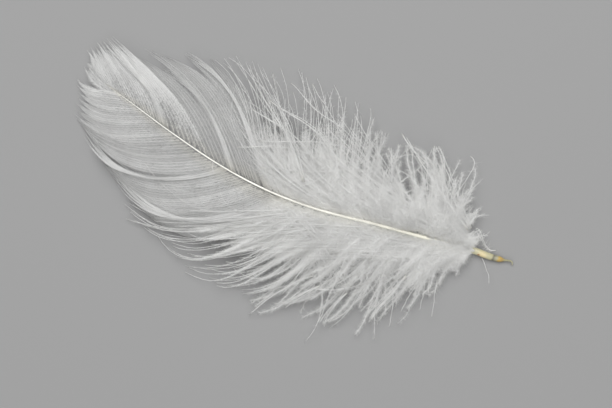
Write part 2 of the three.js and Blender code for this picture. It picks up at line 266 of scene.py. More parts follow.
rightDown = {
    "seed": 47,
    "dense": [
        (-1, 0.44), (12, 0.48), (24, 0.46), (28, 0.55), (29, 0.28), (35, 0.34), (38, 0.4), (41, 0.2),
    ],
    "fuzzy": [(-1, 0.46), (8, 0.58), (14, 0.74), (20, 0.88), (24, 1.1), (37, 1.1), (41, 0.8)],
    "clump": [(-1, 0.4), (8, 0.2), (20, 0.1), (41, 0.1)],
    "fullness": 1.3,
    "crowd": 1.2,
    "thinFoot": (-2, 10),
    "silk": [(-1, 0.7), (8, 1), (37, 1), (41, 0.6)],
    "leaveLess": [(26, 0.58), (29, 1.1), (34, 1), (37, 0.7), (40.7, 0.45)],
    "wisps": [
        wisp([(41.5, -1.0), (38.6, -1.2), (35, -1.5), (31, -1.6)], 14, 2.2, 0.3, 0.8),
        wisp([(41.4, -0.5), (39.4, 0.3), (36.8, 1.2), (33, 2.4)], 10, 2.2, 0.22, 0.3),
        wisp([(38.4, 2.4), (32, 6), (26.2, 9.6), (18.6, 15)], 9, 3.2, 0.03),
        wisp([(38.8, 3), (34, 7), (29, 11.4), (24.5, 15)], 6, 2.6, 0.03),
        wisp([(40.4, -0.3), (33, 0.8), (24, 2), (14, 3.2)], 12, 4, 0.05),
        wisp([(38.5, -0.7), (30, 0.2), (18, 1.4), (4, 4)], 12, 5, 0.05),
        wisp([(34, -1.4), (24, 0.2), (12, 2.8), (0, 8)], 14, 6, 0.05),
        wisp([(28, -2.3), (18, -0.6), (7, 2.8), (-4, 9.5)], 14, 6, 0.05),
        wisp([(20, -3.5), (10, -1.8), (0, 1.6), (-8, 7.5)], 12, 5, 0.05),
        wisp([(12, -4.9), (3, -3.4), (-6, -0.4), (-14, 4.5)], 10, 4, 0.03),
        wisp([(24, 2), (18, 6), (10, 10), (2, 15)], 8, 5, 0.03),
        wisp([(36, 1), (33, 5), (30, 9), (27, 14)], 6, 4, 0.03),
        wisp([(3, -2), (-4, 6), (-10, 10.5), (-17.5, 17)], 11, 3.6, 0.004),
        wisp([(-7.6, 15.9), (-3.8, 14.2), (0.4, 12.5), (5.0, 11.7), (12.6, 8.0)], 2, 0.3, 0.015),
        wisp([(-3.4, 17.6), (-1.0, 15.6), (1.4, 14.0), (6.4, 10.2)], 1, 0, 0.012),
        wisp([(-10.2, 10.8), (-5.6, 10.0), (0.2, 9.2), (7.4, 6.4)], 4, 0.8, 0.02),
        wisp([(-12.6, 7.6), (-8.8, 7.1), (-2.0, 5.6), (5.6, 1.6)], 3, 0.5, 0.015),
        wisp([(-12.4, -0.8), (-8.0, 1.2), (-2.6, 3.2), (4.4, 3.4)], 2, 0.3, 0.006),
        wisp([(-8.6, 2.2), (-3.4, 4.2), (1.6, 6.2), (7.2, 7.8)], 2, 0.3, 0.01),
        wisp([(-6.4, -2.8), (-0.6, -0.8), (5.6, 1.4), (11.0, 5.0)], 2, 0.3, 0.01),
        wisp([(0.8, -5.0), (4.6, -1.4), (6.6, 1.2), (7.6, 5.2)], 1, 0, 0.012),
        wisp([(16.8, 11.8), (18.0, 9.0), (19.8, 5.0)], 2, 0.4, 0.03),
        wisp([(21.4, 12.4), (19.6, 11.0), (17.2, 9.4)], 1, 0, 0.03),
        wisp([(17.8, 15.4), (22.4, 12.6), (27.6, 10.2), (31.6, 7.4)], 2, 0.5, 0.012),
        wisp([(26.2, 9.8), (27.2, 6.6), (28.6, 4.0)], 2, 0.2, 0.02),
        wisp([(32.8, 16.8), (34.3, 14.8), (33.6, 11.0), (33.0, 7.0)], 1, 0, 0.03),
        wisp([(25.0, 15.8), (26.2, 12.6), (28.6, 8.4)], 2, 0.2, 0.02),
        wisp([(45.6, 0.9), (43.2, 0.9), (41.2, 2.6), (39.4, 3.0)], 3, 0.6, 0.03),
    ],
    "locks": [
        lock([-1.2, 3.6], [[-25.0, 15.2, 0.9], [-20.0, 17.5, 1.0]], [48, 50], [158, 150], 1.7),
        lock([3.4, 6.6], [[-19.8, 17.6, 1.0], [-14.6, 17.2, 0.8]], [50, 54], [148, 142], 1.6),
        lock([6.3, 9.6], [[-13.4, 16.8, 0.4], [-9.0, 18.4, 0.3]], [55, 56], [138, 134], 1.8),
        lock([9.3, 12.6], [[-8.2, 18.6, 1.0], [-4.8, 19.4, 1.0]], [57, 58], [130, 126], 2.2),
        lock([12.3, 15.6], [[-4.0, 20.0, 0.4], [0.2, 20.4, 0.3]], [59, 60], [122, 120], 2.6),
        lock([15.3, 18.4], [[0.8, 20.2, 1.2], [4.0, 17.2, 1.2]], [60, 61], [118, 116], 2.8),
        lock([18.1, 21.2], [[5.6, 18.4, 0.5], [8.4, 18.4, 0.4]], [62, 62], [114, 113], 3.0),
        lock([20.9, 23.8], [[9.4, 18.6, 1.4], [12.0, 15.8, 1.4]], [63, 64], [112, 112], 3.2),
        lock([23.5, 26.4], [[12.8, 14.4, 0.5], [15.4, 12.2, 0.4]], [64, 65], [112, 116], 3.2),
        lock([26.1, 28.9], [[16.4, 10.6, 1.4], [19.0, 10.2, 1.4]], [66, 66], [118, 130], 3.4),
        lock([28.6, 31.4], [[18.2, 15.4, 1.8], [20.6, 13.8, 1.8]], [64, 62], [152, 146], 3.2),
        lock([31.1, 33.6], [[22.0, 14.2, 0.4], [24.2, 13.0, 0.3]], [60, 59], [138, 128], 2.8),
        lock([33.3, 35.3], [[25.0, 15.8, 1.4], [27.2, 14.2, 1.4]], [58, 58], [116, 112], 2.6),
        lock([35.0, 36.7], [[28.2, 15.4, 0.5], [30.6, 12.0, 0.4]], [58, 60], [108, 102], 2.6),
        lock([36.4, 37.9], [[33.2, 16.9, 2.0], [34.2, 14.0, 2.0]], [62, 66], [96, 92], 2.6),
        lock([37.6, 39.0], [[34.2, 10.2, 1.2], [36.0, 8.0, 1.2]], [72, 78], [86, 82], 2.2),
        lock([38.7, 39.9], [[38.2, 8.6, 1.6], [40.0, 8.2, 1.6]], [84, 94], [78, 60], 1.8),
        lock([39.6, 40.7], [[41.6, 4.6, 1.8], [44.8, 2.4, 1.8]], [102, 112], [26, 18], 1.0),
    ],
}


def farthest(locks, axis):
    return min(tip[axis] for row in locks for tip in row["tips"])


# Where the frame's origin is, seen from these tables
vaneLow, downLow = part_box("left_vane")[0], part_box("left_down")[0]
shift = np.array([
    vaneLow.x / mm - farthest(leftVane["locks"], 0),
    downLow.y / mm - farthest(leftDown["locks"], 1),
    0,
])


# Barbs as curves

def barbsAt(locks, place):
    # what the locks say at place, which counts locks: 2.5 is the middle of the third one
    rows = [
        (row["root"][end], row["leave"][end], row["arrive"][end], row["rise"], *row["tips"][end])
        for row in locks for end in (0, 1)
    ]
    knots = [i + end for i in range(len(locks)) for end in (0, 1 - justShort)]
    values = [np.interp(place, knots, column) for column in zip(*rows)]
    names = ("root", "leave", "arrive", "rise")
    return dict(zip(names, values), tip=np.stack(values[len(names):], axis=1))


barbShape = {
    "handle": 0.4,  # how far a barb keeps its first and last headings, as a share of its reach
    "keptHeight": 0.25,  # share of its root's height that it still has before it turns down
    "rootDepth": 0.92,  # a barb starts this share of the shaft's radius away from its centre line
    "climb": 54,  # and this far up the shaft's flank
}


def barbPaths(side, barbs, t, climb=barbShape["climb"]):
    # one curve per barb, as points at the shares t of its length: (barbs, len(t), 3)
    heading = shaftHeading(barbs["root"])
    radius = alongShaft(3, barbs["root"]) * barbShape["rootDepth"]
    out = heading - side * math.pi / 2
    away = heading - side * np.radians(barbs["leave"])
    ending = np.radians(barbs["arrive"])
    aside = radius * np.cos(np.radians(climb))
    start = shaftCentre(barbs["root"])
    raised = radius * np.sin(np.radians(climb))
    start += np.stack([np.cos(out) * aside, np.sin(out) * aside, raised], axis=1)
    tip = barbs["tip"]
    handle = (np.linalg.norm(tip - start, axis=1) * barbShape["handle"])[:, None]
    first = start + handle * np.stack([np.cos(away), np.sin(away), 0 * away], axis=1)
    last = tip - handle * np.stack([np.cos(ending), np.sin(ending), 0 * ending], axis=1)
    first[:, 2] = start[:, 2] + barbs["rise"]
    last[:, 2] = mix(tip[:, 2], start[:, 2], barbShape["keptHeight"]) + barbs["rise"]
    s = t[None, :, None]
    return (
        (1 - s) ** 3 * start[:, None]
        + 3 * (1 - s) ** 2 * s * first[:, None]
        + 3 * (1 - s) * s**2 * last[:, None]
        + s**3 * tip[:, None]
    )


waveShape = {
    "parts": ((1, 0.6), (2.3, 0.3), (4.1, 0.15)),  # how fast and how large each part of a wander is
    "growth": (0.02, 0.6),  # it grows from nothing between these shares of a barb
}


def waves(rng, count, t, turns, size):
    # smooth wander that grows from nothing at the root
    total = np.zeros((count, len(t)))
    for faster, share in waveShape["parts"]:
        phase = rng.uniform(0, 2 * math.pi, (count, 1))
        total += share * np.sin(2 * math.pi * turns * faster * t[None, :] + phase)
    return total * size * smoothstep(*waveShape["growth"], t)[None, :]


def barbFrame(paths):
    # unit vectors along each barb, across it in plan, and square to both
    along = unit(np.gradient(paths, axis=1))
    across = unit(np.cross(up, along))
    return along, across, np.cross(along, across)


def wandered(rng, paths, t, aside, upward):
    # the barbs a little off their lines. aside and upward are the turns and the size of their waves
    across = barbFrame(paths)[1]
    paths = paths + across * waves(rng, len(paths), t, *aside)[..., None]
    paths[..., 2] += waves(rng, len(paths), t, *upward)
    return paths


def pathLengths(paths):
    return np.linalg.norm(np.diff(paths, axis=1), axis=2).sum(axis=1)


def sampled(values, barb, place):
    # values (barbs, steps, ...) of each barb at the share place of its length
    steps = values.shape[1]
    at = np.clip(place * (steps - 1), 0, steps - 1 - justShort)
    i = at.astype(int)
    f = at - i
    if values.ndim == 3:
        f = f[..., None]
    return values[barb, i] * (1 - f) + values[barb, i + 1] * f


def shortened(paths, reach, t, barb=None):
    # the barbs as points again, each only up to the share reach of its length
    barb = np.arange(len(paths)) if barb is None else barb
    return np.stack([sampled(paths, barb, share * reach) for share in t], axis=1)


# Meshes from arrays

def addObject(name, data):
    thing = bpy.data.objects.new(name, data)
    bpy.context.collection.objects.link(thing)
    return thing


def meshFrom(bm, name):
    mesh = bpy.data.meshes.new(name)
    bm.to_mesh(mesh)
    bm.free()
    return mesh


class Sheaf:
    # collects many small shapes and makes one mesh of them

    def __init__(self):
        self.points, self.triangles, self.quads, self.strand, self.share = [], [], [], [], []
        self.count = 0

    def add(self, points, strand, share, triangles=None, quads=None):
        if triangles is not None:
            self.triangles.append(triangles + self.count)
        if quads is not None:
            self.quads.append(quads + self.count)
        self.points.append(points)
        self.strand.append(strand)
        self.share.append(share)
        self.count += len(points)

    def build(self, name):
        points = np.concatenate(self.points)
        points[:, 2] = np.maximum(points[:, 2], floorGap)
        triangles, quads = np.concatenate(self.triangles), np.concatenate(self.quads)
        corners = np.concatenate([triangles.ravel(), quads.ravel()]).astype(np.int32)
        starts = np.concatenate([
            np.arange(len(triangles)) * 3,
            len(triangles) * 3 + np.arange(len(quads)) * 4,
        ]).astype(np.int32)
        mesh = bpy.data.meshes.new(name)
        mesh.vertices.add(len(points))
        mesh.vertices.foreach_set("co", ((points + shift) * mm).astype(np.float32).ravel())
        mesh.loops.add(len(corners))
        mesh.loops.foreach_set("vertex_index", corners)
        mesh.polygons.add(len(starts))
        mesh.polygons.foreach_set("loop_start", starts)
        mesh.update(calc_edges=True)
        for label, values in (("strand", self.strand), ("share", self.share)):
            layer = mesh.attributes.new(label, "FLOAT", "POINT")
            layer.data.foreach_set("value", np.concatenate(values).astype(np.float32))
        addPlanMap(mesh, points, corners)
        print(name, len(triangles) + 2 * len(quads), "triangles")
        return addObject(name, mesh)


planMap = {"name": "OFBake", "lean": (0.35, 0.2), "border": 0.01}


def addPlanMap(mesh, points, corners):
    # the piece as seen from above, leaning a little, so that no barbule is seen edge on
    flat = points[:, :2] + points[:, 2:] * planMap["lean"]
    low, high = flat.min(axis=0), flat.max(axis=0)
    flat = planMap["border"] + (1 - 2 * planMap["border"]) * (flat - low) / (high - low).max()
    uvMap = mesh.uv_layers.new(name=planMap["name"])
    uvMap.data.foreach_set("uv", flat[corners].astype(np.float32).ravel())


stemCorners = (270, 30, 150)  # degrees round a barb's stem: its keel, and the edges of its flat top


def addRami(sheaf, paths, width, strand, t):
    # each barb's own stem: a three-sided tube with closed ends
    count, steps = paths.shape[:2]
    _, across, above = barbFrame(paths)
    ring = []
    for corner in np.radians(stemCorners):
        outwards = across * math.cos(corner) + above * math.sin(corner)
        ring.append(paths + outwards * (width[..., None] / 2))
    points = np.stack(ring, axis=2).reshape(-1, 3)  # barb, step, corner
    first = (np.arange(count)[:, None] * steps + np.arange(steps)[None, :]) * 3
    base = first[:, :-1].reshape(-1, 1)
    sides = np.array([[k, (k + 1) % 3, 3 + (k + 1) % 3, 3 + k] for k in range(3)])
    quads = np.concatenate([base + side for side in sides])
    ends = np.concatenate([first[:, :1] + np.array([[2, 1, 0]]), first[:, -1:] + np.array([[0, 1, 2]])])
    strands, shares = np.repeat(strand, steps * 3), np.tile(np.repeat(t, 3), count)
    sheaf.add(points, strands, shares, triangles=ends, quads=quads)


def barbulePlaces(rng, paths, spacing, low, high):
    # evenly spaced places along every barb between the shares low and high, a little jittered
    low = low + np.zeros(len(paths))
    counts = np.maximum((pathLengths(paths) * (high - low) / spacing).astype(int), 1)
    barb = np.repeat(np.arange(len(paths)), counts)
    number = np.arange(counts.sum()) - np.repeat(np.cumsum(counts) - counts, counts)
    place = mix(low[barb], high, (number + rng.uniform(*jitter, len(number))) / counts[barb])
    return barb, place, number


def addBarbules(sheaf, root, direction, length, half, strand, place):
    # each barbule is one narrow leaf that ends in a point
    points = np.stack([root - half, root + half, root + direction * length[:, None]], axis=1)
    points = points.reshape(-1, 3)
    faces = np.arange(len(points)).reshape(-1, 3)
    sheaf.add(points, np.repeat(strand, 3), np.repeat(place, 3), triangles=faces)


print("shapes ready")

# Closed vanes

vaneLook = {
    "steps": 24,
    "pitch": 0.43,  # from barb to barb, across them
    "fewest": 4,  # barbs in a lock
    "gather": 0.15,  # how far the barbs gather at their lock's edges towards the tips
    "barbWidth": 0.1,
    "tipWidth": 0.045,
    "thinSpan": (0.25, 1),  # shares of a barb's length between which it grows thinner
    "widthRange": (0.85, 1.15),
    "tone": (0.45, 1),  # how much of their material's difference the barbs show
    "sheerShade": 1.2,  # painted shade: up to this much more of it in the sheerest locks, so that their barbs look darker than those of dense ones
    "aside": (1.2, 0.04),  # turns and size of a barb's wander sideways
    "upward": (0.8, 0.08),
    "fray": 0.9,  # how far the ends of neighbouring barbs draw together into points
    "frayPull": (0.6, 1),
    "frayDepth": 3.6,  # how far from their ends that begins
    "frayLoss": 2.8,  # how much shorter some of them are
    "frayEnds": (1.2, 4),  # the beta distribution of those losses
    "frayed": 3,  # barbs in such a point
    "frayUneven": 0.12,
    "barbuleSpan": (0.01, 0.93),  # shares of a barb's length between which it has barbules
    "barbuleSpacing": 0.075,
    "barbuleWidth": 0.058,
    "barbuleAngle": 44,
    "barbuleSwing": 5,
    "barbuleReach": 1.35,  # how far the barbules reach, as a share of the gap to the next barb
    "barbuleLengths": (0.2, 0.95),  # their least and greatest length
    "barbuleRange": (0.85, 1.1),
    "barbuleLean": (0.05, 0.06),  # up on one side and down on the other, and its spread
    "tipBarbule": 0.3,  # how long the last ones still are
    "tipSpan": (0.7, 0.95),  # and where they grow shorter
    "rootCover": 0.85,  # near the shaft a dense lock has only this cover
    "rootSpan": (0.15, 0.55),
}
streakLook = {
    "crowd": 1.3,  # above 1, the barbs stand closer in the band's middle
    "rootWidth": 0.5,  # the band's width at its root and at its tip, as shares of its width
    "tipWidth": 0.5,
    "fan": (0.5, 1.5),  # spread of the angles at the root and at the tip
    "aside": (1.1, 0.09),
    "upward": (0.9, 0.1),
    "lift": 0.14,  # how far the band stands above the vane
    "liftSpan": (0, 0.3),
    "loss": 0.16,  # how much shorter some barbs are, as a share
    "ends": (1.2, 3),  # the beta distribution of those losses
    "cover": 1.3,
    "fade": 0.25,  # share of a barb's length over which its barbules set in
}


def gathered(u, amount):
    # moves shares of a lock's width towards both its edges
    return u - amount * np.sin(2 * math.pi * u) / (2 * math.pi)


def frayed(rng, paths, t):
    # draws the ends of neighbouring barbs together, and ends them at different lengths
    count, length = len(paths), pathLengths(paths)
    number = (np.arange(count) + rng.uniform(0, 1)) / vaneLook["frayed"]
    group = np.floor(number + rng.normal(0, vaneLook["frayUneven"], count))
    centre = np.array([paths[group == g].mean(axis=0) for g in group])
    drawn = smoothstep(1 - vaneLook["frayDepth"] / length[:, None], 1, t[None, :])[..., None]
    pull = vaneLook["fray"] * drawn * rng.uniform(*vaneLook["frayPull"], (count, 1, 1))
    shorter = 1 - rng.beta(*vaneLook["frayEnds"], count) * vaneLook["frayLoss"] / length
    return shortened(mix(paths, centre, pull), shorter, t)


def addVaneBarbs(sheaf, rng, paths, beside, t, cover, start=vaneLook["barbuleSpan"][0]):
    # stems, and on both sides of each the barbules that hook it to its neighbours.
    # The barbs of a sheer lock are coloured darker than those of a dense one: painted shade for the
    # greyer look of a thin lock, on top of their random tone
    strand = rng.uniform(*vaneLook["tone"], len(paths)) * np.clip(2 - cover, 0, vaneLook["sheerShade"])
    along, _, above = barbFrame(paths)
    thinning = between(vaneLook["barbWidth"], vaneLook["tipWidth"], vaneLook["thinSpan"], t)
    addRami(sheaf, paths, thinning * rng.uniform(*vaneLook["widthRange"], (len(paths), 1)), strand, t)
    spacing, end = vaneLook["barbuleSpacing"] / cover, vaneLook["barbuleSpan"][1]
    rootCover = min(1, vaneLook["rootCover"] / cover)
    lean, leanSpread = vaneLook["barbuleLean"]
    for way in (-1, 1):
        barb, place, _ = barbulePlaces(rng, paths, spacing, start, end)
        wanted = between(rootCover, 1, vaneLook["rootSpan"], place)
        keep = rng.uniform(0, 1, len(barb)) < wanted
        barb, place = barb[keep], place[keep]
        count = len(barb)
        tangent = unit(sampled(along, barb, place))
        step = sampled(beside, barb, place)
        sideways = step - tangent * (step * tangent).sum(axis=1, keepdims=True)
        gap = np.linalg.norm(sideways, axis=1)
        sideways = sideways / np.maximum(gap, tiny)[:, None] * way
        angle = np.radians(rng.normal(vaneLook["barbuleAngle"], vaneLook["barbuleSwing"], count))
        length = np.clip(gap * vaneLook["barbuleReach"] / np.sin(angle), *vaneLook["barbuleLengths"])
        length *= rng.uniform(*vaneLook["barbuleRange"], count)
        length *= between(1, vaneLook["tipBarbule"], vaneLook["tipSpan"], place)
        lift = sampled(above, barb, place) * rng.normal(lean * way, leanSpread, count)[:, None]
        direction = unit(tangent * np.cos(angle)[:, None] + sideways * np.sin(angle)[:, None] + lift)
        half = tangent * (vaneLook["barbuleWidth"] / 2)
        addBarbules(sheaf, sampled(paths, barb, place), direction, length, half, strand[barb], place)


def lockBarbs(side, vane, index, rng, t):
    # the barbs of one closed lock, and the step from each to the next
    locks, lastBarb = vane["locks"], 1 - justShort

    def curves(u):
        barbs = barbsAt(locks, index + lastBarb * u)
        nearer = np.clip(gathered(u, vaneLook["gather"]), 0, 1)
        barbs["tip"] = barbsAt(locks, index + lastBarb * nearer)["tip"]
        return barbPaths(side, barbs, t)

    edges = curves(np.array([0, 1.0]))
    middle = len(t) // 2
    chord = edges[1, middle] - edges[0, middle]
    heading = unit(edges[0, middle + 1] - edges[0, middle - 1])
    width = np.linalg.norm(chord - heading * (chord * heading).sum())
    wanted = width / vaneLook["pitch"] * math.sqrt(locks[index]["cover"])
    count = max(int(round(wanted)), vaneLook["fewest"])
    u = (np.arange(count) + 0.5) / count
    beside = curves(u + 0.5 / count) - curves(u - 0.5 / count)
    paths = wandered(rng, curves(u), t, vaneLook["aside"], vaneLook["upward"])
    return frayed(rng, paths, t), beside


def streakBarbs(side, row, rng, t):
    # a band of barbs side by side that narrows towards its tip
    count = row["count"]
    offset = np.linspace(-1, 1, count)
    across = np.sign(offset) * np.abs(offset) ** streakLook["crowd"] * row["width"] / 2
    ending = math.radians(row["arrive"])
    tip = np.array(row["tip"]) + np.zeros((count, 3))
    tip[:, 0] -= math.sin(ending) * across * side * streakLook["tipWidth"]
    tip[:, 1] += math.cos(ending) * across * side * streakLook["tipWidth"]
    leaveFan, arriveFan = streakLook["fan"]
    barbs = {
        "root": row["root"] + across * streakLook["rootWidth"] / math.sin(math.radians(row["leave"])),
        "leave": row["leave"] + rng.normal(0, leaveFan, count),
        "arrive": row["arrive"] + rng.normal(0, arriveFan, count),
        "rise": row["rise"] * np.ones(count),
        "tip": tip,
    }
    paths = wandered(rng, barbPaths(side, barbs, t), t, streakLook["aside"], streakLook["upward"])
    paths[..., 2] += streakLook["lift"] * smoothstep(*streakLook["liftSpan"], t)
    shorter = 1 - rng.beta(*streakLook["ends"], count) * streakLook["loss"]
    paths = shortened(paths, shorter, t)
    return paths, np.gradient(paths, axis=0) if count > 1 else paths * 0


def makeVane(name, side, vane):
    rng = np.random.default_rng(vane["seed"])
    t = np.linspace(0, 1, vaneLook["steps"])
    sheaf = Sheaf()
    for index, row in enumerate(vane["locks"]):
        paths, beside = lockBarbs(side, vane, index, rng, t)
        addVaneBarbs(sheaf, rng, paths, beside, t, row["cover"])
    for row in vane["streaks"]:
        paths, beside = streakBarbs(side, row, rng, t)
        start = row["start"] + rng.uniform(0, streakLook["fade"], len(paths))
        addVaneBarbs(sheaf, rng, paths, beside, t, streakLook["cover"], start)
    return sheaf.build(name)


# Down

downLook = {
    "upper": {
        "seed": 1,
        "barbs": 104,
        "tuftsPerLock": 1.8,
        "strayLift": 0.9,  # how much higher the strays arch
        "strayFluff": 0.36,  # and how closely their barbules stand, as a share
        "openFluff": 0.22,  # share of the places for barbules that are taken where the fluff is open
        "strayFan": 18,  # spread of the strays' angles
        "rise": 1.1,  # how far the barbs arch up, as a share of what their lock says
        "loft": 0.6,  # and its spread
        "reach": (0.5, 1.04),  # where along its tuft a barb ends
        "wave": 0.7,
        "barbule": 1.8,
    },
    "lower": {
        "seed": 2,
        "barbs": 96,
        "tuftsPerLock": 2.1,
        "strayLift": 0,
        "strayFluff": 1,
        "openFluff": 0.38,
        "strayFan": 16,
        "rise": 0.4,
        "loft": 0.5,
        "reach": (0.5, 1.02),
        "wave": 0.8,
        "barbule": 1.9,
    },
}
downShared = {
    "steps": 18,
    "tuftSteps": 72,
    "barbWidth": 0.13,
    "tipWidth": 0.105,
    "thinSpan": (0.05, 1),
    "widthRange": (0.8, 1.2),
    "fan": 8,  # spread of the barbs' angles
    "tipFan": 2,  # how much more than their roots' the angles of the barbs' ends spread
    "strays": 0.5,  # share of the barbs that keep out of the tufts
    "mostStrays": 1.2,  # clumping takes its amount away from this, and the rest multiplies that share
    "strayReach": (0.62, 0.95),  # how long the strays are, as a share
    "tuftWidth": 0.6,
    "tuftScatter": (0.6, 0.6, 0.18),  # of the tufts' ends
    "tipScatter": (0.5, 0.5, 0.25),  # of the single barbs' ends
    "tuftTurns": (1.1, 1),  # of a tuft's wander sideways and upwards
    "barbTurns": (1.3, 1.2),
    "barbWave": 0.5,  # size of a barb's wander, as a share of its tuft's
    "tuftHold": 0.8,  # how far clumping takes a tuft's wander and width away
    "barbHold": 0.7,  # and a barb's wander sideways
    "tuftChoice": 0.1,  # spread of the places along the locks where barbs look for their tuft
    "ends": (2.4, 1.2),  # the beta distribution of where the barbs end
    "spreadSpan": (0, 0.4),  # shares of a barb's length between which its tuft takes its width
    "pullSpan": (0.1, 0.75),  # and between which it joins the tuft
    "fluffRange": (0.7, 1),
    "denseFluff": 0.75,  # share of the places for barbules that are taken where the fluff is dense
    "thinFluff": 0.2,  # and where it has not set in
    "openSpan": (-0.08, 0.12),  # how gradually the fluff opens
    "bareSpan": (-0.12, 0.04),  # and ends
    "bareLoss": 0.96,
    "barbuleSpan": (0.04, 0.99),
    "barbuleSpacing": 0.0056,
    "barbuleWidth": 0.03,
    "barbuleAngle": 60,
    "barbuleSwing": 20,
    "barbuleRoll": 42,
    "barbuleTilt": 0.5,  # how far they turn their flat sides away from above
    "barbuleRange": (0.5, 1.2),
    "tipBarbule": 0.5,  # how long the last ones still are
    "tipSpan": (0.3, 1),
    "silkSpan": (0.3, 0.6),  # outwards of this the barbs are silky
    "silkAngle": 0.4,  # how far the shortest barbules still stand off, as a share
    "foot": (36, 39.5),  # places on the shaft between which its last, close barbs set in
    "footNap": 0.3,  # how long the barbules at the roots of the foot's barbs are
    "napSpan": (0, 0.35),
    "footStem": 0.5,  # how thick those barbs are
    "veil": (22, 40),  # from here to the quill more and more barbs start on top of the shaft
    "veilClimb": (0, 100),  # how far up its flank those start
    "topHeight": 2.6,  # how far the fluff's top stands above the shaft
    "topReach": 27,  # and how far from the shaft it slopes down to the surface
}
wispLook = {
    "edge": (0.5, 4),  # how far from the shaft's middle a wisp climbs onto the fluff
    "sunk": 0.1,
    "spread": (0.15, 1.4),  # shares of its width at its start and at its end
    "aside": (1, 0.15),
    "upward": (1, 0.25),
    "loss": 0.04,  # how much shorter its barbs may be for each other barb in it, as a share
    "silk": 0.7,
    "fuzzSpan": (0.05, 0.25),  # shares of its length between which its fuzz sets in
}


def tableAt(table, x):
    return np.interp(x, *zip(*table))


def footward(x):
    # 0 on most of the shaft and 1 for the last barbs before the quill, which keep close together
    return smoothstep(*downShared["foot"], x)


def fannedOut(barbs, down, layer, rng):
    # gives each barb its own angles and arch, around those of its lock
    count = len(barbs["root"])
    less = tableAt(down["leaveLess"], barbs["root"])
    barbs["leave"] = barbs["leave"] * less + rng.normal(0, downShared["fan"], count)
    barbs["arrive"] = barbs["arrive"] + rng.normal(0, downShared["tipFan"] * downShared["fan"], count)
    barbs["rise"] = barbs["rise"] * layer["rise"] + rng.normal(0, layer["loft"], count)


def tuftPaths(side, down, layer, rng):
    # one curve per tuft: it follows the locks loosely
    locks = down["locks"]
    t = np.linspace(0, 1, downShared["tuftSteps"])
    count = int(len(locks) * layer["tuftsPerLock"])
    place = (np.arange(count) + rng.uniform(*jitter, count)) / layer["tuftsPerLock"]
    tufts = barbsAt(locks, np.clip(place, 0, len(locks) - justShort))
    fannedOut(tufts, down, layer, rng)
    tufts["tip"] = tufts["tip"] + rng.normal(0, 1, (count, 3)) * downShared["tuftScatter"]
    loose = 1 - downShared["tuftHold"] * tableAt(down["clump"], tufts["root"])[:, None]
    aside, upward = ((turns, layer["wave"] * loose) for turns in downShared["tuftTurns"])
    return place, wandered(rng, barbPaths(side, tufts, t), t, aside, upward)


def downBarbs(side, down, layer, rng, t):
    # most barbs draw together into tufts, and the others cross them
    locks = down["locks"]
    tuftPlace, tufts = tuftPaths(side, down, layer, rng)
    count = int(layer["barbs"] * down["fullness"])
    share = (np.arange(count) + rng.uniform(0, 1, count)) / count
    place = share ** down["crowd"] * (len(locks) - justShort)
    choice = place + rng.normal(0, downShared["tuftChoice"], count)
    tuft = np.abs(choice[:, None] - tuftPlace[None, :]).argmin(axis=1)
    reach = mix(*layer["reach"], rng.beta(*downShared["ends"], count))
    barbs = barbsAt(locks, place)
    clump = tableAt(down["clump"], barbs["root"])
    stray = rng.uniform(0, 1, count) < downShared["strays"] * (downShared["mostStrays"] - clump)
    start = shaftCentre(barbs["root"])
    turned = np.radians(rng.normal(0, layer["strayFan"], count)) * stray
    turned = mix(turned, side * np.abs(turned), footward(barbs["root"]))
    to = sampled(tufts, tuft, reach) - start
    to *= np.where(stray, rng.uniform(*downShared["strayReach"], count), 1)[:, None]
    end = start + np.stack([
        to[:, 0] * np.cos(turned) - to[:, 1] * np.sin(turned),
        to[:, 0] * np.sin(turned) + to[:, 1] * np.cos(turned),
        to[:, 2],
    ], axis=1)
    barbs["tip"] = end + rng.normal(0, 1, (count, 3)) * downShared["tipScatter"]
    fannedOut(barbs, down, layer, rng)
    barbs["arrive"] += np.degrees(turned)
    barbs["rise"] += layer["strayLift"] * stray
    top = rng.uniform(*downShared["veilClimb"], count)
    climb = between(barbShape["climb"], top, downShared["veil"], barbs["root"])
    wave = downShared["barbWave"] * layer["wave"]
    loose = 1 - downShared["barbHold"] * clump[:, None]
    aside, upward = downShared["barbTurns"]
    paths = wandered(rng, barbPaths(side, barbs, t, climb), t, (aside, wave * loose), (upward, wave))
    width = downShared["tuftWidth"] * (1 - downShared["tuftHold"] * clump)
    spread = (rng.normal(0, 1, (count, 3)) * width[:, None])[:, None]
    own = shortened(tufts, reach, t, tuft) + spread * smoothstep(*downShared["spreadSpan"], t)[:, None]
    pull = (clump * ~stray)[:, None] * smoothstep(*downShared["pullSpan"], t)
    return mix(paths, own, pull[..., None]), barbs["root"], stray


def fluffDensity(down, layer, root, stray, rng):
    # how closely a barb's barbules stand: dense near the shaft, then open, then none
    dense, fuzzy = tableAt(down["dense"], root), tableAt(down["fuzzy"], root)
    own = rng.uniform(*downShared["fluffRange"], len(root))
    own *= between(downShared["thinFluff"], 1, down["thinFoot"], root)
    own *= np.where(stray, layer["strayFluff"], 1)

    def density(barb, place):
        pastDense, pastFuzzy = place - dense[barb], place - fuzzy[barb]
        fluff = between(downShared["denseFluff"], layer["openFluff"], downShared["openSpan"], pastDense)
        bared = smoothstep(*downShared["bareSpan"], pastFuzzy)
        return fluff * (1 - downShared["bareLoss"] * bared) * own[barb]

    return density


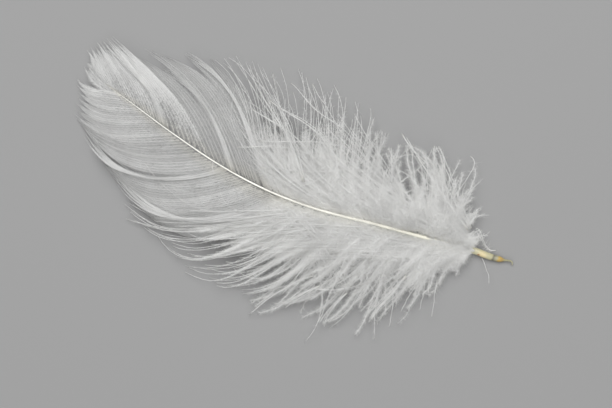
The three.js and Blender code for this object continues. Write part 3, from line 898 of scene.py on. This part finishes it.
def wispPaths(row, rng, t):
    # curves through the wisp's points, on top of the fluff
    count, points = row["barbs"], np.array(row["points"], float)
    knots = np.linspace(0, 1, len(points))
    x, y = (np.polyval(np.polyfit(knots, column, len(points) - 1), t) for column in points.T)
    away = np.abs(y - alongShaft(1, x))
    over = downShared["topHeight"] * smoothstep(*wispLook["edge"], away) - wispLook["sunk"] + row["lift"]
    z = (alongShaft(2, x) + over) * (1 - np.clip(away / downShared["topReach"], 0, 1) ** 2)
    middle = np.stack([x, y, z], axis=1)[None]
    offset = rng.uniform(-0.5, 0.5, (count, 1)) * row["width"] * mix(*wispLook["spread"], t)
    offset = offset + waves(rng, count, t, *wispLook["aside"])
    paths = middle + barbFrame(middle)[1] * offset[..., None]
    paths[..., 2] += waves(rng, count, t, *wispLook["upward"])
    shorter = 1 - rng.uniform(0, wispLook["loss"], count) * (count - 1)
    return shortened(paths, shorter, t)


def wispFuzz(row):
    # a wisp's counterpart of fluffDensity
    return lambda barb, place: row["fuzz"] * smoothstep(*wispLook["fuzzSpan"], place)


def addDownBarbules(sheaf, rng, paths, density, silk, foot, strand, layer):
    along, across, above = barbFrame(paths)
    spacing, span = downShared["barbuleSpacing"], downShared["barbuleSpan"]
    barb, place, number = barbulePlaces(rng, paths, spacing, *span)
    keep = rng.uniform(0, 1, len(barb)) < density(barb, place)
    barb, place, number = barb[keep], place[keep], number[keep]
    count = len(barb)
    tangent = unit(sampled(along, barb, place))
    way = np.where(number % 2 == 0, 1, -1)
    roll = np.radians(rng.normal(0, downShared["barbuleRoll"], count))
    angle = np.radians(rng.normal(downShared["barbuleAngle"], downShared["barbuleSwing"], count))
    length = layer["barbule"] * between(1, downShared["tipBarbule"], downShared["tipSpan"], place)
    length *= rng.uniform(*downShared["barbuleRange"], count)
    silky = between(1, silk[barb], downShared["silkSpan"], place)
    nap = mix(1, downShared["footNap"], foot[barb])
    length *= silky * between(nap, 1, downShared["napSpan"], place)
    angle *= mix(downShared["silkAngle"], 1, silky)
    outward = sampled(across, barb, place) * (way * np.cos(roll))[:, None]
    outward += sampled(above, barb, place) * np.sin(roll)[:, None]
    direction = unit(tangent * np.cos(angle)[:, None] + outward * np.sin(angle)[:, None])
    facing = up + rng.normal(0, downShared["barbuleTilt"], (count, 3))
    half = unit(np.cross(direction, facing)) * (downShared["barbuleWidth"] / 2)
    addBarbules(sheaf, sampled(paths, barb, place), direction, length, half, strand[barb], place)


def makeDown(name, side, down, label):
    layer = downLook[label]
    rng = np.random.default_rng(down["seed"] + layer["seed"])
    t = np.linspace(0, 1, downShared["steps"])
    sheaf = Sheaf()
    paths, root, stray = downBarbs(side, down, layer, rng, t)
    density = fluffDensity(down, layer, root, stray, rng)
    groups = [(paths, density, tableAt(down["silk"], root), footward(root))]
    if label == "upper":
        for row in down["wisps"]:
            alike = np.ones(row["barbs"])
            groups.append((wispPaths(row, rng, t), wispFuzz(row), wispLook["silk"] * alike, 0 * alike))
    thinning = between(downShared["barbWidth"], downShared["tipWidth"], downShared["thinSpan"], t)
    for paths, density, silk, foot in groups:
        strand = rng.uniform(0, 1, len(paths))
        finer = mix(1, downShared["footStem"], foot)[:, None]
        width = thinning * finer * rng.uniform(*downShared["widthRange"], (len(paths), 1))
        addRami(sheaf, paths, width, strand, t)
        addDownBarbules(sheaf, rng, paths, density, silk, foot, strand, layer)
    return sheaf.build(name)


# Shaft

def makeShaft(name):
    bm = bmesh.new()
    bmesh.ops.create_cone(
        bm, cap_ends=True, segments=shaft["sides"], radius1=1, radius2=1, depth=1,
    )
    lengthwise = [e for e in bm.edges if abs(e.verts[0].co.z - e.verts[1].co.z) > 0.5]
    bmesh.ops.subdivide_edges(bm, edges=lengthwise, cuts=shaft["rings"])
    share = np.array([v.co.z + 0.5 for v in bm.verts])
    first, last = stationTable[-1, 0], stationTable[0, 0]
    x = mix(first, last, mix(share, share**2, shaft["ringCrowd"]))
    centre, radius, heading = shaftCentre(x), alongShaft(3, x), shaftHeading(x)
    rachis = 1 - smoothstep(shaft["rachisStart"], shaft["quillStart"], x)
    for v, c, r, h, square in zip(bm.verts, centre, radius, heading, rachis):
        across, height = v.co.x, v.co.y
        fuller = 1 / max(abs(across), abs(height))
        swell = mix(1, fuller, shaft["squareness"] * square)
        hollow = max(0, 1 - (across / shaft["grooveWidth"]) ** 2) if height < 0 else 0
        groove = shaft["groove"] * square * hollow
        across, height = across * swell * r, (height * swell + groove) * r
        v.co = (c[0] + math.sin(h) * across, c[1] - math.cos(h) * across, c[2] + height)
        v.co = (np.array(v.co) + shift) * mm
        v.co.z = max(v.co.z, floorGap * mm)
    bmesh.ops.recalc_face_normals(bm, faces=bm.faces)
    mesh = meshFrom(bm, name)
    mesh.shade_smooth()
    print(name, len(mesh.polygons), "faces")
    return addObject(name, mesh)


# Materials

def startMaterial(name):
    material = bpy.data.materials.new(name)
    material.use_nodes = True
    return material, material.node_tree, material.node_tree.nodes["Principled BSDF"]


def newGroup(name, inputs, outputs):
    group = bpy.data.node_groups.new(name, "ShaderNodeTree")
    for label, kind, value in inputs:
        group.interface.new_socket(label, in_out="INPUT", socket_type=kind).default_value = value
    for label, kind in outputs:
        group.interface.new_socket(label, in_out="OUTPUT", socket_type=kind)
    return group, group.nodes.new("NodeGroupInput").outputs


def feed(tree, node, inputs):
    # gives each input its value, or a link from another node's output
    for label, value in inputs.items():
        if isinstance(value, bpy.types.NodeSocket):
            tree.links.new(value, node.inputs[label])
        else:
            node.inputs[label].default_value = value


def addNode(tree, kind, inputs=None, **settings):
    node = tree.nodes.new(kind)
    for label, value in settings.items():
        setattr(node, label, value)
    feed(tree, node, inputs or {})
    return node


def blended(tree, share, under, over):
    # the colour under, turned into the colour over as far as share says
    return addNode(tree, "ShaderNodeMix", {0: share, 6: under, 7: over}, data_type="RGBA").outputs[2]


def dimmed(tree, colour, mask, amount):
    # colour, darkened by amount as far as the mask says
    darken = addNode(tree, "ShaderNodeMath", {0: mask, 1: amount}, operation="MULTIPLY")
    keep = addNode(tree, "ShaderNodeMath", {0: 1, 1: darken.outputs["Value"]}, operation="SUBTRACT")
    given = {"Vector": colour, "Scale": keep.outputs["Value"]}
    return addNode(tree, "ShaderNodeVectorMath", given, operation="SCALE").outputs["Vector"]


mottleLook = {
    "noise": {"Detail": 3},
    "contrast": {"From Min": 0.35, "From Max": 0.7},
}


def makeMottle():
    # soft unevenness of a natural surface: a colour, darkened here and there, and its mask
    group, given = newGroup(
        "mottle",
        [
            ("Color", "NodeSocketColor", (1, 1, 1, 1)),
            ("Amount", "NodeSocketFloat", 0.1),
            ("Scale", "NodeSocketFloat", 300),
            ("Stretch", "NodeSocketFloat", 1),  # how much finer across the feather than along it
        ],
        [("Color", "NodeSocketColor"), ("Mask", "NodeSocketFloat")],
    )
    place = addNode(group, "ShaderNodeTexCoord").outputs["Object"]
    finer = given["Stretch"]
    stretch = addNode(group, "ShaderNodeCombineXYZ", {"X": 1, "Y": finer, "Z": finer})
    factors = {0: place, 1: stretch.outputs["Vector"]}
    scaled = addNode(group, "ShaderNodeVectorMath", factors, operation="MULTIPLY")
    noise = addNode(group, "ShaderNodeTexNoise", {
        "Vector": scaled.outputs["Vector"], "Scale": given["Scale"], **mottleLook["noise"],
    })
    limits = {"Value": noise.outputs["Fac"], **mottleLook["contrast"]}
    contrast = addNode(group, "ShaderNodeMapRange", limits, interpolation_type="SMOOTHSTEP")
    mask = contrast.outputs["Result"]
    shaded = dimmed(group, given["Color"], mask, given["Amount"])
    addNode(group, "NodeGroupOutput", {"Color": shaded, "Mask": mask})
    return group


barbRoughness = {"To Min": 0.45, "To Max": 0.65}


def makeBarbColour():
    # white barbs that are creamier at their roots and darkened by their strand value: random tone, and
    # on the vanes also painted shade on the barbs of sheer locks
    group, given = newGroup(
        "barb colour",
        [
            ("White", "NodeSocketColor", (1, 1, 1, 1)),
            ("Cream", "NodeSocketColor", (1, 1, 1, 1)),
            ("Cream Reach", "NodeSocketFloat", 0.2),
            ("Difference", "NodeSocketFloat", 0.1),
        ],
        [("Color", "NodeSocketColor"), ("Roughness", "NodeSocketFloat")],
    )
    strand = addNode(group, "ShaderNodeAttribute", attribute_name="strand").outputs["Fac"]
    share = addNode(group, "ShaderNodeAttribute", attribute_name="share").outputs["Fac"]
    rootward = addNode(group, "ShaderNodeMapRange", {
        "Value": share, "From Max": given["Cream Reach"], "To Min": 1, "To Max": 0,
    })
    tint = blended(group, rootward.outputs["Result"], given["White"], given["Cream"])
    shaded = dimmed(group, tint, strand, given["Difference"])
    rough = addNode(group, "ShaderNodeMapRange", {"Value": strand, **barbRoughness})
    addNode(group, "NodeGroupOutput", {"Color": shaded, "Roughness": rough.outputs["Result"]})
    return group


mottle, barbColour = makeMottle(), makeBarbColour()

barbLooks = {
    # on the vane barbs the Difference carries painted shade for sheer locks along with random tone
    "vane barbs": {
        "colour": {
            "White": (0.94, 0.94, 0.93, 1), "Cream": (0.92, 0.9, 0.83, 1),
            "Cream Reach": 0.12, "Difference": 0.3,
        },
        "patches": {"Amount": 0.08, "Scale": 260},
        "throughLight": 0.35,
    },
    "down barbs": {
        "colour": {
            "White": (0.97, 0.97, 0.96, 1), "Cream": (0.95, 0.94, 0.9, 1),
            "Cream Reach": 0.1, "Difference": 0.08,
        },
        "patches": {"Amount": 0.05, "Scale": 180},
        "throughLight": 0.45,
    },
}


def barbMaterial(name):
    look = barbLooks[name]
    material, tree, shader = startMaterial(name)
    colour = addNode(tree, "ShaderNodeGroup", look["colour"], node_tree=barbColour).outputs
    patches = {"Color": colour["Color"], **look["patches"]}
    uneven = addNode(tree, "ShaderNodeGroup", patches, node_tree=mottle).outputs["Color"]
    feed(tree, shader, {"Base Color": uneven, "Roughness": colour["Roughness"]})
    translucent = addNode(tree, "ShaderNodeBsdfTranslucent", {"Color": uneven})
    blend = addNode(tree, "ShaderNodeMixShader", {
        "Fac": look["throughLight"], 1: shader.outputs[0], 2: translucent.outputs[0],
    })
    feed(tree, tree.nodes["Material Output"], {"Surface": blend.outputs[0]})
    return material


quillLook = {
    "bands": [  # x and colour, from the rachis to the dried end
        (-50, (0.86, 0.86, 0.82)),
        (10, (0.88, 0.87, 0.79)),
        (34, (0.84, 0.82, 0.7)),
        (40, (0.58, 0.55, 0.38)),
        (45.4, (0.48, 0.45, 0.28)),
        (45.65, (0.16, 0.15, 0.11)),
        (46.0, (0.17, 0.16, 0.12)),
        (46.2, (0.42, 0.42, 0.3)),
        (46.6, (0.36, 0.32, 0.18)),
        (46.8, (0.5, 0.34, 0.09)),
        (47.6, (0.42, 0.29, 0.1)),
        (47.9, (0.3, 0.27, 0.14)),
        (49.3, (0.3, 0.29, 0.17)),
        (50, (0.5, 0.48, 0.34)),
    ],
    "spot": {"at": (42.6, -1.5, 1.6), "radius": 0.42, "colour": (0.28, 0.1, 0.045, 1), "strength": 0.9},
    "stain": {"at": (43.3, -1.2, 1.7), "radius": 1.3, "colour": (0.75, 0.62, 0.34, 1), "strength": 0.6},
    "spotCore": 0.35,  # share of a mark's radius that has its full strength
    "mottle": {"Amount": 0.14, "Scale": 320, "Stretch": 5},
    "roughness": 0.36,
    "grain": {"Strength": 0.5, "Distance": 0.00002},
}


def addSpot(tree, spot, under):
    # a soft round mark around a point of the piece
    place = addNode(tree, "ShaderNodeTexCoord").outputs["Object"]
    at = (np.array(spot["at"]) + shift) * mm
    distance = addNode(tree, "ShaderNodeVectorMath", {0: place, 1: at}, operation="DISTANCE")
    fade = addNode(tree, "ShaderNodeMapRange", {
        "Value": distance.outputs["Value"],
        "From Min": quillLook["spotCore"] * spot["radius"] * mm, "From Max": spot["radius"] * mm,
        "To Min": spot["strength"], "To Max": 0,
    }, interpolation_type="SMOOTHSTEP")
    return blended(tree, fade.outputs["Result"], under, spot["colour"])


def quillMaterial():
    material, tree, shader = startMaterial("quill horn")
    place = addNode(tree, "ShaderNodeTexCoord").outputs["Object"]
    split = addNode(tree, "ShaderNodeSeparateXYZ", {0: place})
    bands = quillLook["bands"]
    low, high = bands[0][0], bands[-1][0]
    along = addNode(tree, "ShaderNodeMapRange", {
        "Value": split.outputs["X"],
        "From Min": (low + shift[0]) * mm, "From Max": (high + shift[0]) * mm,
    })
    ramp = addNode(tree, "ShaderNodeValToRGB", {"Fac": along.outputs["Result"]})
    elements = ramp.color_ramp.elements
    while len(elements) < len(bands):
        elements.new(0.5)
    for element, (x, colour) in zip(elements, bands):
        element.position = (x - low) / (high - low)
        element.color = (*colour, 1)
    stained = addSpot(tree, quillLook["stain"], ramp.outputs["Color"])
    spotted = addSpot(tree, quillLook["spot"], stained)
    marked = {"Color": spotted, **quillLook["mottle"]}
    uneven = addNode(tree, "ShaderNodeGroup", marked, node_tree=mottle).outputs
    grain = addNode(tree, "ShaderNodeBump", {"Height": uneven["Mask"], **quillLook["grain"]})
    feed(tree, shader, {
        "Base Color": uneven["Color"],
        "Roughness": quillLook["roughness"],
        "Normal": grain.outputs["Normal"],
    })
    return material


# The feather's pieces

def finishPiece(piece, material, node):
    piece.data.materials.append(material)
    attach(piece, "root")
    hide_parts(node)


vaneBarbMaterial, downBarbMaterial = barbMaterial("vane barbs"), barbMaterial("down barbs")
finishPiece(makeShaft("quill_and_rachis"), quillMaterial(), "shaft")
for name, side, vane in (("left_vane", left, leftVane), ("right_vane", right, rightVane)):
    finishPiece(makeVane(f"{name}_barbs", side, vane), vaneBarbMaterial, name)
for name, side, down in (("left_down", left, leftDown), ("right_down", right, rightDown)):
    for label in downLook:
        finishPiece(makeDown(f"{name}_{label}", side, down, label), downBarbMaterial, name)
print("feather ready")

# Floor, lights and camera

floorLook = {"size": 1.5, "tone": 0.26, "roughness": 0.8}


def makeFloor():
    bm = bmesh.new()
    bmesh.ops.create_grid(bm, x_segments=1, y_segments=1, size=floorLook["size"])
    mesh = meshFrom(bm, "floor")
    material, tree, shader = startMaterial("pale floor")
    tone = (floorLook["tone"],) * 3
    feed(tree, shader, {"Base Color": (*tone, 1), "Roughness": floorLook["roughness"]})
    mesh.materials.append(material)
    floor = addObject("floor", mesh)


view = {
    "turn": 23.4,  # the camera's turn about the vertical
    "aim": (5.25, -5.97, 3.5),
    "width": 127.5,  # what the picture's width covers at the height of aim
    "lens": 135,
    "sensor": 36,
    "clip": (0.01, 10),  # in metres
}


def makeCamera():
    aim = (np.array(view["aim"]) + shift) * mm
    distance = view["width"] * mm * view["lens"] / view["sensor"]
    camera = bpy.data.cameras.new("camera")
    camera.lens = view["lens"]
    camera.sensor_width = view["sensor"]
    camera.clip_start, camera.clip_end = view["clip"]
    cameraObject = addObject("camera", camera)
    cameraObject.location = (aim[0], aim[1], aim[2] + distance)
    cameraObject.rotation_euler = (0, 0, math.radians(view["turn"]))
    bpy.context.scene.camera = cameraObject


lights = {  # azimuth, elevation, distance and size in metres, power in watts
    "key": (115, 66, 0.7, 0.6, 5.4),
    "fill": (-60, 60, 0.8, 0.8, 2.4),
}
roomLight = 0.28  # strength of the white world around


def makeLight(name, azimuth, elevation, away, size, power):
    light = bpy.data.lights.new(name, "AREA")
    light.shape = "SQUARE"
    light.size = size
    light.energy = power
    lamp = addObject(name, light)
    a, e = math.radians(azimuth), math.radians(elevation)
    lamp.location = (
        away * math.cos(a) * math.cos(e),
        away * math.sin(a) * math.cos(e),
        away * math.sin(e),
    )
    lamp.rotation_euler = (math.pi / 2 - e, 0, a + math.pi / 2)


makeFloor()
makeCamera()
for name, values in lights.items():
    makeLight(name, *values)
world = bpy.data.worlds.new("studio")
bpy.context.scene.world = world
world.use_nodes = True
background = world.node_tree.nodes["Background"].inputs
background["Color"].default_value = (1, 1, 1, 1)
background["Strength"].default_value = roomLight
bpy.context.scene.view_settings.view_transform = "Standard"

print("scene ready")
